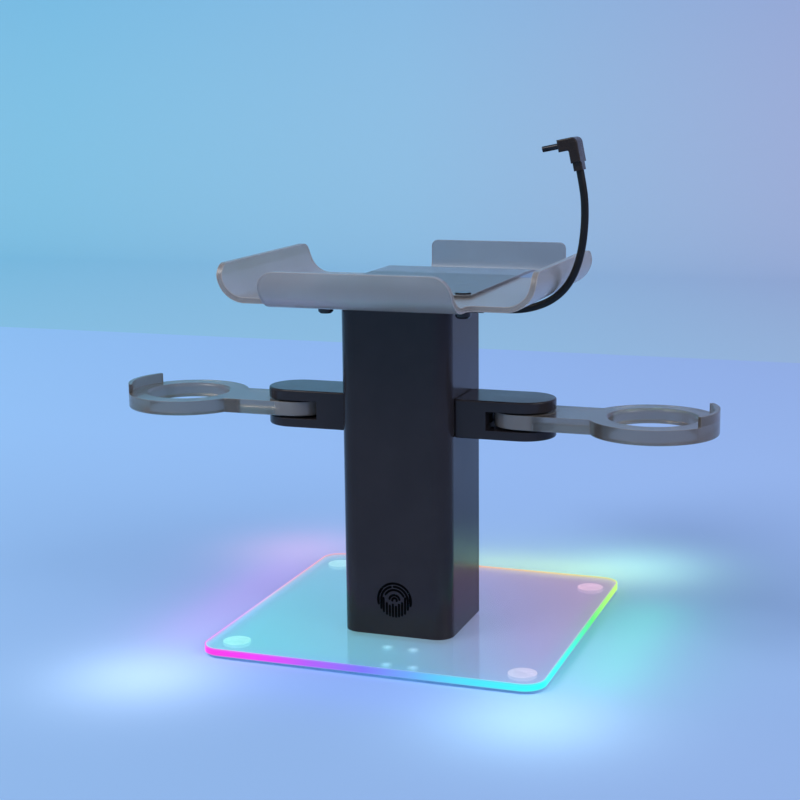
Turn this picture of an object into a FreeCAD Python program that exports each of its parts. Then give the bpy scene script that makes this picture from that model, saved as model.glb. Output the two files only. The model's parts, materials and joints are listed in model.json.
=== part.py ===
"""Stand for a virtual reality headset and its two hand controllers.

A black column rises from a clear edge-lit base plate.  A smoked tray on top
holds the headset, a strip behind it holds the head strap, and two smoked
rings swing on clevises at the column's sides and hold the controllers.  A
short stiff charge lead leaves the column under the tray.

Millimetres, +Z up, +X to the right and +Y away from the viewer.  The pieces
are built about the middle of the base plate, with z = 0 on the table, and
are moved along Y at the end, so that the origin is the bottom centre of the
stand without its lead.
"""
import FreeCAD
import Part
import math
import os
from collections import namedtuple

Vector = FreeCAD.Vector
Screw = namedtuple("Screw", "head_d head_h shank_d length sunk")

# Clearances, each measured on one side
RUN_GAP = 0.05
THREAD_GAP = 0.05
SLIDE_GAP = 0.2
SCREW_GAP = 0.2
TAIL_GAP = 0.4

# Base plate and its pads
PLATE_SIZE = 150.0
PLATE_T = 3.0
PLATE_CORNER_R = 9.0
PAD_D = 12.0
PAD_T = 1.5
PAD_CHAMFER = 0.3
PAD_INSET_X = 11.5
PAD_INSET_Y = 15.0

# Column: a front shell closed by a flat cover behind and a cap on top
COLUMN_W = 49.0
COLUMN_D = 44.0
COLUMN_H = 145.5
COLUMN_Y = -14.0
COLUMN_CORNER_R = 7.5
SHELL_WALL = 2.2
SHELL_FLOOR_T = 3.0
COVER_T = 2.5
CAP_T = 2.0
CAP_SKIRT_T = 1.5
CAP_SKIRT_H = 4.0

# Screw posts of the column
POST_D = 7.0
POST_INSET_X = 5.5
POST_INSET_Y = 5.7
POST_INSET_REAR = 6.5
FOOT_POST_H = 12.0
TOP_POST_H = 16.0
COVER_POST_L = 7.0
COVER_POST_LOW = 26.0
COVER_POST_HIGH = 112.0
COVER_RIB_T = 1.2
COVER_RIB_DEPTH = 2.5

# Light in the plate: a board hangs from the column into a window
WINDOW_W = 30.0
WINDOW_D = 26.0
WINDOW_CORNER_R = 2.0
WINDOW_GAP = 1.0
LAMP_BOARD_T = 1.0
LAMP_W = 2.8
LAMP_DEPTH = 1.4
LAMP_T = 1.2
LAMP_SETBACK = 0.3
LAMPS_ACROSS = 5
LAMPS_ALONG = 3
BOTTOM_LID_T = 1.0
BOTTOM_LID_MARGIN = 1.5
WIRE_SLOT_W = 10.0
WIRE_SLOT_D = 5.0

# Electronics inside the column
BOARD_W = 34.0
BOARD_H = 70.0
BOARD_T = 1.6
BOARD_LIFT = 5.0
BOARD_STANDOFF = 7.5
BOARD_POST_D = 5.0
BOARD_POST_X = 12.0
BOARD_POST_END = 4.0
# Soldered parts: x, height above the board's middle, width, height, thickness
BOARD_CHIPS = [
    (0.0, 0.0, 10.0, 10.0, 1.2),
    (9.5, 12.5, 7.0, 7.0, 3.2),
    (-9.5, 12.5, 7.0, 7.0, 3.2),
    (0.0, 25.0, 14.0, 6.0, 4.5),
]
INLET_LIFT = 9.0
INLET_W = 8.94
INLET_H = 3.26
INLET_WALL = 0.3
INLET_DEPTH = 6.2
INLET_RECESS = 1.4
INLET_TONGUE_W = 6.7
INLET_TONGUE_T = 0.7
INLET_TONGUE_L = 4.4
TOUCH_LIFT = 16.0
TOUCH_PAD_D = 14.0
TOUCH_PAD_T = 1.0

# Clevises and ring arms; the arms swing level about an upright pin
CLEVIS_LIFT = 87.1
CLEVIS_W = 26.6
CLEVIS_EDGE_R = 0.8
LOWER_EAR_T = 3.9
UPPER_EAR_T = 4.6
PIVOT_REACH = 27.0
PIN_D = 5.0
PIN_HEAD_D = 8.0
PIN_HEAD_T = 1.4
PIN_IN_UPPER_EAR = 3.2
WASHER_D = 18.0
WASHER_T = 0.8
ARM_T = 6.3
ARM_W = 26.0
RING_REACH = 54.5
RING_D = 54.0
RING_BORE_D = 36.0
RING_BORE_EDGE_R = 1.6
RING_EDGE_R = 0.6
LIP_H = 4.3
LIP_T = 1.8
LIP_HALF_ANGLE = 35.0

# Tray: one folded sheet with a flap on each side and one in front
TRAY_T = 2.4
TRAY_FRONT = 45.5
TRAY_REAR = 50.0
SIDE_BEND_R = 12.5
SIDE_FLAP_REACH = 68.3
SIDE_FLAP_H = 16.0
SIDE_FLAP_FRONT_R = 6.5
SIDE_FLAP_REAR_R = 8.0
FRONT_BEND_R = 16.0
FRONT_FLAP_REACH = 68.0
FRONT_FLAP_W = 81.0
FRONT_FLAP_H = 16.1
FRONT_FLAP_R = 8.0
FLAP_NOTCH_R = 3.0

# Strap rest: a thin strip on the tray that dips behind it and turns up
STRIP_T = 1.2
STRIP_W = 69.8
STRIP_FRONT = 25.0
STRIP_FRONT_R = 4.0
STRIP_FLAT = 74.0
STRIP_DIP_DEG = 12.0
STRIP_DIP_R = 30.0
STRIP_REACH = 136.6
STRIP_BEND_R = 9.0
STRIP_LIP_RISE = 6.3
STRIP_LIP_R = 3.2

# Pegs that hold the strip to the tray
PEG_X = 30.4
PEG_FRONT = 19.1
PEG_D = 3.6
PEG_HEAD_D = 6.6
PEG_HEAD_H = 1.2
PEG_HEAD_SUNK = 0.6
PEG_HEAD_CHAMFER = 0.2
PEG_NUT_D = 6.5
PEG_NUT_H = 6.6
PEG_NUT_CHAMFER = 0.8

# Charge lead and its angled plug
GLAND_DROP = 5.0
GLAND_HOLE_D = 4.0
GLAND_FLANGE_D = 4.8
GLAND_FLANGE_T = 1.2
GLAND_TIP_D = 3.9
GLAND_L = 9.0
GLAND_GROOVES = 3
GLAND_FIRST_GROOVE = 0.6
GLAND_GROOVE_W = 0.8
GLAND_GROOVE_DEPTH = 0.35
LEAD_D = 3.2
LEAD_ARC_SHARE = 0.45
PLUG_W = 10.5
PLUG_LEG_T = 4.2
PLUG_LEG_H = 10.4
PLUG_HEAD_L = 8.3
PLUG_HEAD_H = 5.0
PLUG_EDGE_R = 0.7
PLUG_ELBOW_R = 2.4
PLUG_COLLAR_W = 6.6
PLUG_COLLAR_T = 3.8
PLUG_COLLAR_H = 3.3
TONGUE_W = 8.25
TONGUE_T = 2.4
TONGUE_L = 6.65
TONGUE_WALL = 0.35
TONGUE_DEPTH = 5.5

# Screws: head diameter and height, shank diameter, length and head form
BASE_SCREW = Screw(5.5, 1.6, 2.8, 12.0, True)
TRAY_SCREW = Screw(5.5, 1.6, 2.8, 14.0, True)
COVER_SCREW = Screw(5.0, 1.5, 2.5, 9.0, True)
BOARD_SCREW = Screw(4.0, 1.4, 2.0, 6.0, False)
CLEVIS_SCREW = Screw(5.5, 2.0, 3.0, 11.0, False)
CLEVIS_SCREW_PITCH = 16.0

# How near two places are when they count as one
TOUCH = 1e-3

# Levels and places that follow from the sizes above
plate_under = PAD_T
plate_top = plate_under + PLATE_T
tray_under = plate_top + COLUMN_H
tray_top = tray_under + TRAY_T
shell_top = tray_under - CAP_T
strip_top = tray_top + STRIP_T
column_side = COLUMN_W / 2
column_front = COLUMN_Y - COLUMN_D / 2
column_rear = COLUMN_Y + COLUMN_D / 2
shell_rear = column_rear - COVER_T
clevis_under = plate_top + CLEVIS_LIFT
slot_under = clevis_under + LOWER_EAR_T
slot_h = ARM_T + 2 * WASHER_T + 2 * RUN_GAP
slot_top = slot_under + slot_h
clevis_top = slot_top + UPPER_EAR_T
clevis_mid = (clevis_under + clevis_top) / 2
arm_under = slot_under + WASHER_T + RUN_GAP
arm_top = arm_under + ARM_T
pivot_x = column_side + PIVOT_REACH
ring_x = pivot_x + RING_REACH
board_rear = shell_rear - BOARD_STANDOFF
board_under = plate_top + BOARD_LIFT
gland_z = tray_under - GLAND_DROP
gland_tip_x = column_side + GLAND_L
peg_y = COLUMN_Y - PEG_FRONT
head_seat = strip_top - PEG_HEAD_SUNK
front_limit = COLUMN_Y - FRONT_FLAP_REACH
rear_limit = COLUMN_Y + STRIP_REACH
middle_y = (front_limit + rear_limit) / 2

# Route of the lead in the plane of the column's axis: x, and height above
# the gland.  It rounds the tray's side bend and then stands up beside it.
LEAD_ROUTE = [
    (gland_tip_x, 0.0),
    (40.5, 0.0),
    (50.5, -0.4),
    (60.0, 0.3),
    (66.1, 3.25),
    (70.8, 8.0),
    (73.8, 14.1),
    (75.7, 22.1),
    (76.7, 31.7),
    (76.7, 41.5),
    (75.7, 50.5),
    (74.2, 57.9),
]

PLANES = {
    "xy": (lambda a, b, c: Vector(a, b, c), Vector(0, 0, 1)),
    "xz": (lambda a, b, c: Vector(a, c, b), Vector(0, 1, 0)),
    "yz": (lambda a, b, c: Vector(c, a, b), Vector(1, 0, 0)),
}


def rounded_edges(points, radii, closed):
    """Lines through the points, with an arc of each radius at its corner."""
    count = len(points)
    corners = []
    for index, point in enumerate(points):
        at_end = not closed and index in (0, count - 1)
        if at_end or radii[index] == 0:
            corners.append((point, None, point))
            continue
        back = (points[index - 1] - point).normalize()
        ahead = (points[(index + 1) % count] - point).normalize()
        half = back.getAngle(ahead) / 2
        reach = radii[index] / math.tan(half)
        inward = (back + ahead).normalize()
        crown = point + inward * (radii[index] / math.sin(half) - radii[index])
        corners.append((point + back * reach, crown, point + ahead * reach))
    edges = []
    for index, (start, crown, end) in enumerate(corners):
        if crown is not None:
            edges.append(Part.Arc(start, crown, end).toShape())
        if not closed and index == count - 1:
            break
        following = corners[(index + 1) % count][0]
        if end.distanceToPoint(following) > TOUCH:
            edges.append(Part.LineSegment(end, following).toShape())
    return edges


def prism(outline, radii, plane, low, high):
    """Solid of a closed outline in a plane, from one offset to another."""
    to_space, normal = PLANES[plane]
    points = [to_space(a, b, low) for a, b in outline]
    if not isinstance(radii, (list, tuple)):
        radii = [radii] * len(points)
    face = Part.Face(Part.Wire(rounded_edges(points, radii, True)))
    return face.extrude(normal * (high - low))


def rectangle(a0, a1, b0, b1):
    """Corners of a rectangle: low-low, high-low, high-high, low-high."""
    return [(a0, b0), (a1, b0), (a1, b1), (a0, b1)]


def block(x0, x1, y0, y1, z0, z1):
    """Plain box between two corners."""
    return Part.makeBox(x1 - x0, y1 - y0, z1 - z0, Vector(x0, y0, z0))


def rod(x, y, z0, z1, diameter):
    """Upright cylinder."""
    return Part.makeCylinder(diameter / 2, z1 - z0, Vector(x, y, z0))


def turned(profile):
    """Solid turned about Z from (radius, height) points."""
    points = [Vector(radius, 0, height) for radius, height in profile]
    face = Part.Face(Part.makePolygon(points + points[:1]))
    return face.revolve(Vector(0, 0, 0), Vector(0, 0, 1), 360)


def aimed(shape, place, direction):
    """Copy of a shape whose own +Z points along direction, moved to place."""
    result = shape.copy()
    turn = FreeCAD.Rotation(Vector(0, 0, 1), direction)
    result.Placement = FreeCAD.Placement(place, turn)
    return result


def fused(shapes):
    """One solid made of overlapping or touching shapes."""
    return shapes[0].multiFuse(shapes[1:]).removeSplitter()


def sheet_outline(path, radii, thickness):
    """Closed outline of a bent sheet that lies to the left of its path."""
    steps = []
    for (a0, b0), (a1, b1) in zip(path, path[1:]):
        length = math.hypot(a1 - a0, b1 - b0)
        steps.append(((a1 - a0) / length, (b1 - b0) / length))
    far_side = []
    far_radii = []
    for index, (a, b) in enumerate(path):
        before = steps[max(index - 1, 0)]
        after = steps[min(index, len(steps) - 1)]
        turn = before[0] * after[1] - before[1] * after[0]
        share = thickness / (1 + before[0] * after[0] + before[1] * after[1])
        far_side.append((a - (before[1] + after[1]) * share, b + (before[0] + after[0]) * share))
        change = -thickness if turn > 0 else thickness
        far_radii.append(radii[index] + change if radii[index] else 0)
    return list(path) + far_side[::-1], list(radii) + far_radii[::-1]


def screw_body(screw):
    """Screw with its head's top at the origin and its shank along -Z."""
    head_r = screw.head_d / 2
    shank_r = screw.shank_d / 2
    profile = [
        (0, 0),
        (head_r, 0),
        (shank_r, -screw.head_h),
        (shank_r, -screw.length),
        (0, -screw.length),
    ]
    if not screw.sunk:
        profile.insert(2, (head_r, -screw.head_h))
    return turned(profile)


def screw_hole(screw, gap, depth):
    """Clearance hole for a screw whose head sits flush at the origin."""
    shank_r = screw.shank_d / 2 + gap
    hole = Part.makeCylinder(shank_r, depth, Vector(0, 0, -depth))
    if screw.sunk:
        head_r = screw.head_d / 2
        cone = Part.makeCone(screw.shank_d / 2, head_r, screw.head_h, Vector(0, 0, -screw.head_h))
        hole = hole.fuse(cone)
    return hole


def mirrored(shape):
    """The same piece on the other side of the stand."""
    return shape.mirror(Vector(0, 0, 0), Vector(1, 0, 0))


def post_places():
    """Where the upright screw posts stand in the column."""
    front = column_front + POST_INSET_Y
    rear = column_rear - POST_INSET_REAR
    side = column_side - POST_INSET_X
    return [(-side, front), (side, front), (side, rear), (-side, rear)]


def cover_screw_places():
    """x and z of the screws that hold the rear cover."""
    side = column_side - POST_INSET_X
    levels = (plate_top + COVER_POST_LOW, plate_top + COVER_POST_HIGH)
    return [(x, z) for z in levels for x in (-side, side)]


def board_post_places():
    """x and z of the four posts that carry the control board."""
    low = board_under + BOARD_POST_END
    high = board_under + BOARD_H - BOARD_POST_END
    return [(x, z) for z in (low, high) for x in (-BOARD_POST_X, BOARD_POST_X)]


def make_base_plate():
    half = PLATE_SIZE / 2
    plate = prism(rectangle(-half, half, -half, half), PLATE_CORNER_R, "xy", plate_under, plate_top)
    across = WINDOW_W / 2
    along = WINDOW_D / 2
    window = rectangle(-across, across, COLUMN_Y - along, COLUMN_Y + along)
    plate = plate.cut(prism(window, WINDOW_CORNER_R, "xy", plate_under, plate_top))
    hole = screw_hole(BASE_SCREW, SCREW_GAP, PLATE_T)
    for x, y in post_places():
        plate = plate.cut(aimed(hole, Vector(x, y, plate_under), Vector(0, 0, -1)))
    return plate


def make_pad(x, y):
    radius = PAD_D / 2
    pad = turned([
        (0, 0),
        (radius - PAD_CHAMFER, 0),
        (radius, PAD_CHAMFER),
        (radius, PAD_T),
        (0, PAD_T),
    ])
    pad.translate(Vector(x, y, 0))
    return pad


def make_bottom_lid():
    across = WINDOW_W / 2 + BOTTOM_LID_MARGIN
    along = WINDOW_D / 2 + BOTTOM_LID_MARGIN
    outline = rectangle(-across, across, COLUMN_Y - along, COLUMN_Y + along)
    return prism(outline, WINDOW_CORNER_R + BOTTOM_LID_MARGIN, "xy",
                 plate_under - BOTTOM_LID_T, plate_under)


def column_prism(inset, rear, low, high):
    """Column's plan drawn in by an inset, with its front corners rounded."""
    side = column_side - inset
    front = column_front + inset
    radius = COLUMN_CORNER_R - inset
    return prism(rectangle(-side, side, front, rear), (radius, radius, 0, 0), "xy", low, high)


def make_column_shell():
    shell = column_prism(0, shell_rear, plate_top, shell_top)
    floor_top = plate_top + SHELL_FLOOR_T
    cavity = column_prism(SHELL_WALL, column_rear, floor_top, tray_under)
    posts = []
    for x, y in post_places():
        posts.append(rod(x, y, plate_top, plate_top + FOOT_POST_H, POST_D))
        posts.append(rod(x, y, shell_top - TOP_POST_H, shell_top, POST_D))
    cover_post = Part.makeCylinder(POST_D / 2, COVER_POST_L)
    web = COVER_RIB_T / 2
    for x, z in cover_screw_places():
        posts.append(aimed(cover_post, Vector(x, shell_rear, z), Vector(0, -1, 0)))
        wall = math.copysign(column_side - SHELL_WALL / 2, x)
        posts.append(block(min(x, wall), max(x, wall), shell_rear - COVER_POST_L, shell_rear,
                           z - web, z + web))
    shell = fused([shell.cut(cavity)] + posts)
    foot_hole = rod(0, 0, -SHELL_FLOOR_T, FOOT_POST_H, BASE_SCREW.shank_d + 2 * THREAD_GAP)
    top_hole = rod(0, 0, -TOP_POST_H, 0, TRAY_SCREW.shank_d + 2 * THREAD_GAP)
    cuts = []
    for x, y in post_places():
        cuts.append(foot_hole.translated(Vector(x, y, plate_top)))
        cuts.append(top_hole.translated(Vector(x, y, shell_top)))
    cover_hole = Part.makeCylinder(COVER_SCREW.shank_d / 2 + THREAD_GAP, COVER_POST_L)
    for x, z in cover_screw_places():
        cuts.append(aimed(cover_hole, Vector(x, shell_rear, z), Vector(0, -1, 0)))
    cuts.append(block(-WIRE_SLOT_W / 2, WIRE_SLOT_W / 2, COLUMN_Y - WIRE_SLOT_D / 2,
                      COLUMN_Y + WIRE_SLOT_D / 2, plate_top, floor_top))
    clevis_hole = Part.makeCylinder(CLEVIS_SCREW.shank_d / 2 + SCREW_GAP, COLUMN_W)
    for y in clevis_screw_levels():
        cuts.append(aimed(clevis_hole, Vector(-column_side, y, clevis_mid), Vector(1, 0, 0)))
    gland_hole = Part.makeCylinder(GLAND_HOLE_D / 2, 2 * SHELL_WALL)
    start = Vector(column_side - SHELL_WALL, COLUMN_Y, gland_z)
    cuts.append(aimed(gland_hole, start, Vector(1, 0, 0)))
    for cutter in cuts:
        shell = shell.cut(cutter)
    return shell


def make_rear_cover():
    cover = block(-column_side, column_side, shell_rear, column_rear, plate_top, shell_top)
    parts = [cover]
    rib_out = column_side - SHELL_WALL - SLIDE_GAP
    rib_low = plate_top + COVER_POST_LOW + POST_D / 2 + SLIDE_GAP
    rib_high = plate_top + COVER_POST_HIGH - POST_D / 2 - SLIDE_GAP
    for side in (-1, 1):
        x0, x1 = sorted((side * rib_out, side * (rib_out - COVER_RIB_T)))
        parts.append(block(x0, x1, shell_rear - COVER_RIB_DEPTH, shell_rear, rib_low, rib_high))
    post = Part.makeCylinder(BOARD_POST_D / 2, BOARD_STANDOFF)
    pilot = Part.makeCylinder(BOARD_SCREW.shank_d / 2 + THREAD_GAP, BOARD_STANDOFF)
    for x, z in board_post_places():
        parts.append(aimed(post, Vector(x, board_rear, z), Vector(0, 1, 0)))
    cover = fused(parts)
    for x, z in board_post_places():
        cover = cover.cut(aimed(pilot, Vector(x, board_rear, z), Vector(0, 1, 0)))
    hole = screw_hole(COVER_SCREW, SCREW_GAP, COVER_T)
    for x, z in cover_screw_places():
        cover = cover.cut(aimed(hole, Vector(x, column_rear, z), Vector(0, 1, 0)))
    return cover.cut(inlet_prism(SLIDE_GAP, shell_rear, column_rear))


def inlet_prism(grow, y0, y1):
    """Rounded slot shape of the power inlet, grown on every side."""
    across = INLET_W / 2 + grow
    up = INLET_H / 2 + grow
    middle = plate_top + INLET_LIFT
    outline = rectangle(-across, across, middle - up, middle + up)
    return prism(outline, up - TOUCH, "xz", y0, y1)


def make_power_inlet():
    mouth = column_rear - INLET_RECESS
    shell = inlet_prism(0, board_rear, mouth)
    shell = shell.cut(inlet_prism(-INLET_WALL, mouth - INLET_DEPTH, mouth))
    middle = plate_top + INLET_LIFT
    root = mouth - INLET_DEPTH
    tongue = block(-INLET_TONGUE_W / 2, INLET_TONGUE_W / 2, root, root + INLET_TONGUE_L,
                   middle - INLET_TONGUE_T / 2, middle + INLET_TONGUE_T / 2)
    return fused([shell, tongue])


def make_control_board():
    half = BOARD_W / 2
    front = board_rear - BOARD_T
    top = board_under + BOARD_H
    board = block(-half, half, front, board_rear, board_under, top)
    middle = board_under + BOARD_H / 2
    chips = [block(x - width / 2, x + width / 2, front - thickness, front,
                   middle + rise - height / 2, middle + rise + height / 2)
             for x, rise, width, height, thickness in BOARD_CHIPS]
    board = fused([board] + chips)
    hole = Part.makeCylinder(BOARD_SCREW.shank_d / 2 + SCREW_GAP, BOARD_T)
    for x, z in board_post_places():
        board = board.cut(aimed(hole, Vector(x, front, z), Vector(0, 1, 0)))
    return board


def make_touch_pad():
    pad = Part.makeCylinder(TOUCH_PAD_D / 2, TOUCH_PAD_T)
    place = Vector(0, column_front + SHELL_WALL, plate_top + TOUCH_LIFT)
    return aimed(pad, place, Vector(0, 1, 0))


def make_lamp_board():
    across = WINDOW_W / 2 - WINDOW_GAP
    along = WINDOW_D / 2 - WINDOW_GAP
    return block(-across, across, COLUMN_Y - along, COLUMN_Y + along,
                 plate_top - LAMP_BOARD_T, plate_top)


def make_lamps():
    """Lamps round the board's rim, each facing a wall of the window."""
    across = WINDOW_W / 2 - WINDOW_GAP - LAMP_SETBACK
    along = WINDOW_D / 2 - WINDOW_GAP - LAMP_SETBACK
    top = plate_top - LAMP_BOARD_T
    lamps = []
    for index in range(LAMPS_ACROSS):
        x = (2 * across - LAMP_W) * (index / (LAMPS_ACROSS - 1) - 0.5)
        for side in (-1, 1):
            y0, y1 = sorted((side * along, side * (along - LAMP_DEPTH)))
            lamps.append(block(x - LAMP_W / 2, x + LAMP_W / 2, COLUMN_Y + y0, COLUMN_Y + y1,
                               top - LAMP_T, top))
    for index in range(LAMPS_ALONG):
        y = COLUMN_Y + 2 * along * ((index + 1) / (LAMPS_ALONG + 1) - 0.5)
        for side in (-1, 1):
            x0, x1 = sorted((side * across, side * (across - LAMP_DEPTH)))
            lamps.append(block(x0, x1, y - LAMP_W / 2, y + LAMP_W / 2, top - LAMP_T, top))
    return Part.makeCompound(lamps)


def make_top_cap():
    cap = column_prism(0, column_rear, shell_top, tray_under)
    fit = SHELL_WALL + SLIDE_GAP
    low = shell_top - CAP_SKIRT_H
    skirt_rear = shell_rear - SLIDE_GAP
    skirt = column_prism(fit, skirt_rear, low, shell_top)
    skirt = skirt.cut(column_prism(fit + CAP_SKIRT_T, skirt_rear - CAP_SKIRT_T, low, shell_top))
    for x, y in post_places():
        skirt = skirt.cut(rod(x, y, low, shell_top, POST_D + 2 * SLIDE_GAP))
    notch = GLAND_FLANGE_D / 2 + 2 * SLIDE_GAP
    skirt = skirt.cut(block(-column_side, column_side, COLUMN_Y - notch, COLUMN_Y + notch,
                            low, shell_top))
    cap = fused([cap] + skirt.Solids)
    for x, y in post_places():
        cap = cap.cut(rod(x, y, shell_top, tray_under, TRAY_SCREW.shank_d + 2 * SCREW_GAP))
    return cap


def clevis_screw_levels():
    """y of the two screws that hold each clevis."""
    return (COLUMN_Y - CLEVIS_SCREW_PITCH / 2, COLUMN_Y + CLEVIS_SCREW_PITCH / 2)


def make_clevis():
    """Right clevis: a solid root and two ears with a slot between them."""
    half = CLEVIS_W / 2
    end = pivot_x + half
    outline = rectangle(column_side, end, COLUMN_Y - half, COLUMN_Y + half)
    body = prism(outline, (0, half, half, 0), "xy", clevis_under, clevis_top)
    rims = []
    for edge in body.Edges:
        box = edge.BoundBox
        if box.ZLength < TOUCH or box.XMax < column_side + TOUCH:
            rims.append(edge)
    body = body.makeFillet(CLEVIS_EDGE_R, rims)
    slot_root = pivot_x - ARM_W / 2 - TAIL_GAP
    body = body.cut(block(slot_root, end, COLUMN_Y - half, COLUMN_Y + half, slot_under, slot_top))
    head_seat = clevis_under + PIN_HEAD_T
    body = body.cut(rod(pivot_x, COLUMN_Y, clevis_under, head_seat, PIN_HEAD_D + 2 * THREAD_GAP))
    pin_top = slot_top + PIN_IN_UPPER_EAR
    body = body.cut(rod(pivot_x, COLUMN_Y, clevis_under, pin_top, PIN_D + 2 * THREAD_GAP))
    pilot_l = CLEVIS_SCREW.length - SHELL_WALL - CLEVIS_SCREW.head_h + SCREW_GAP
    pilot = Part.makeCylinder(CLEVIS_SCREW.shank_d / 2 + THREAD_GAP, pilot_l)
    for y in clevis_screw_levels():
        body = body.cut(aimed(pilot, Vector(column_side, y, clevis_mid), Vector(1, 0, 0)))
    return body


def make_clevis_screws():
    head_top = column_side - SHELL_WALL - CLEVIS_SCREW.head_h
    screws = []
    for y in clevis_screw_levels():
        place = Vector(head_top, y, clevis_mid)
        screws.append(aimed(screw_body(CLEVIS_SCREW), place, Vector(-1, 0, 0)))
    return Part.makeCompound(screws)


def make_pivot_pin():
    head_seat = clevis_under + PIN_HEAD_T
    head = rod(pivot_x, COLUMN_Y, clevis_under, head_seat, PIN_HEAD_D)
    shank = rod(pivot_x, COLUMN_Y, clevis_under, slot_top + PIN_IN_UPPER_EAR, PIN_D)
    return fused([head, shank])


def make_washer(under):
    disc = rod(pivot_x, COLUMN_Y, under, under + WASHER_T, WASHER_D)
    return disc.cut(rod(pivot_x, COLUMN_Y, under, under + WASHER_T, PIN_D + 2 * RUN_GAP))


def make_ring_arm():
    """Right arm: a flat tail with a round end, a ring and a raised lip."""
    half = ARM_W / 2
    outline = rectangle(pivot_x - half, ring_x, COLUMN_Y - half, COLUMN_Y + half)
    tail = prism(outline, (half, 0, 0, half), "xy", arm_under, arm_top)
    arm = fused([tail, rod(ring_x, COLUMN_Y, arm_under, arm_top, RING_D)])
    arm = arm.cut(rod(ring_x, COLUMN_Y, arm_under, arm_top, RING_BORE_D))
    bore_rim = []
    lower_rim = []
    for edge in arm.Edges:
        box = edge.BoundBox
        in_bore = abs(box.XLength - RING_BORE_D) < TOUCH
        if in_bore and box.ZMin > arm_top - TOUCH:
            bore_rim.append(edge)
        if not in_bore and box.ZMax < arm_under + TOUCH:
            lower_rim.append(edge)
    arm = arm.makeFillet(RING_BORE_EDGE_R, bore_rim)
    arm = arm.makeFillet(RING_EDGE_R, lower_rim)
    lip = rod(ring_x, COLUMN_Y, arm_top - LIP_T, arm_top + LIP_H, RING_D)
    lip = lip.cut(rod(ring_x, COLUMN_Y, arm_top - LIP_T, arm_top + LIP_H, RING_D - 2 * LIP_T))
    spread = RING_D * math.tan(math.radians(LIP_HALF_ANGLE))
    wedge = prism([(0, 0), (RING_D, -spread), (RING_D, spread)], 0, "xy",
                  arm_top - LIP_T, arm_top + LIP_H)
    wedge.translate(Vector(ring_x, COLUMN_Y, 0))
    arm = fused([arm, lip.common(wedge)])
    return arm.cut(rod(pivot_x, COLUMN_Y, arm_under, arm_top, PIN_D + 2 * RUN_GAP))


def make_tray():
    """Folded sheet: side flaps and floor in one bend line, then the front flap."""
    flap_top = tray_under + SIDE_FLAP_H
    reach = SIDE_FLAP_REACH
    path = [(-reach, flap_top), (-reach, tray_under), (reach, tray_under), (reach, flap_top)]
    outline, radii = sheet_outline(path, (0, SIDE_BEND_R, SIDE_BEND_R, 0), TRAY_T)
    front = COLUMN_Y - TRAY_FRONT
    rear = COLUMN_Y + TRAY_REAR
    trough = prism(outline, radii, "xz", front, rear)
    side_view = rectangle(front, rear, tray_under, flap_top)
    trough = trough.common(prism(side_view, (0, 0, SIDE_FLAP_REAR_R, SIDE_FLAP_FRONT_R), "yz",
                                 -reach, reach))
    flap_top = tray_under + FRONT_FLAP_H
    path = [(front_limit, flap_top), (front_limit, tray_under), (COLUMN_Y, tray_under)]
    outline, radii = sheet_outline(path, (0, FRONT_BEND_R, 0), TRAY_T)
    half = FRONT_FLAP_W / 2
    flap = prism(outline, radii, "yz", -half, half)
    front_view = rectangle(-half, half, tray_under, flap_top)
    flap = flap.common(prism(front_view, (0, 0, FRONT_FLAP_R, FRONT_FLAP_R), "xz",
                             front_limit, COLUMN_Y))
    tray = fused([trough, flap])
    inner = []
    for edge in tray.Edges:
        box = edge.BoundBox
        upright = box.XLength < TOUCH and box.YLength < TOUCH
        at_flap = abs(abs(box.XMin) - half) < TOUCH and abs(box.YMin - front) < TOUCH
        if upright and at_flap:
            inner.append(edge)
    tray = tray.makeFillet(FLAP_NOTCH_R, inner)
    hole = screw_hole(TRAY_SCREW, SCREW_GAP, TRAY_T)
    for x, y in post_places():
        tray = tray.cut(aimed(hole, Vector(x, y, tray_top), Vector(0, 0, 1)))
    for x in (-PEG_X, PEG_X):
        tray = tray.cut(rod(x, peg_y, tray_under, tray_top, PEG_D + 2 * SCREW_GAP))
    return tray


def make_strap_rest():
    """Thin strip: flat on the tray, a shallow dip behind it and an end lip."""
    front = COLUMN_Y - STRIP_FRONT
    knee = COLUMN_Y + STRIP_FLAT
    drop = (rear_limit - knee) * math.tan(math.radians(STRIP_DIP_DEG))
    lip_top = strip_top + STRIP_LIP_RISE
    path = [(front, tray_top), (knee, tray_top), (rear_limit, tray_top - drop),
            (rear_limit, lip_top)]
    outline, radii = sheet_outline(path, (0, STRIP_DIP_R, STRIP_BEND_R, 0), STRIP_T)
    half = STRIP_W / 2
    strip = prism(outline, radii, "yz", -half, half)
    plan = rectangle(-half, half, front, rear_limit)
    strip = strip.common(prism(plan, (STRIP_FRONT_R, STRIP_FRONT_R, 0, 0), "xy",
                               tray_top - drop, lip_top))
    end_view = rectangle(-half, half, tray_top - drop, lip_top)
    strip = strip.common(prism(end_view, (0, 0, STRIP_LIP_R, STRIP_LIP_R), "xz",
                               front, rear_limit))
    for x in (-PEG_X, PEG_X):
        strip = strip.cut(rod(x, peg_y, tray_top, strip_top, PEG_D + 2 * SCREW_GAP))
        strip = strip.cut(rod(x, peg_y, head_seat, strip_top, PEG_HEAD_D + 2 * SLIDE_GAP))
    return strip


def make_peg():
    """Right peg: a low head let into the strip and a shank down to its nut."""
    head_r = PEG_HEAD_D / 2
    shank_r = PEG_D / 2
    end = tray_under - PEG_NUT_H
    head_top = head_seat + PEG_HEAD_H
    peg = turned([
        (0, end),
        (shank_r, end),
        (shank_r, head_seat),
        (head_r, head_seat),
        (head_r, head_top - PEG_HEAD_CHAMFER),
        (head_r - PEG_HEAD_CHAMFER, head_top),
        (0, head_top),
    ])
    peg.translate(Vector(PEG_X, peg_y, 0))
    return peg


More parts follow.
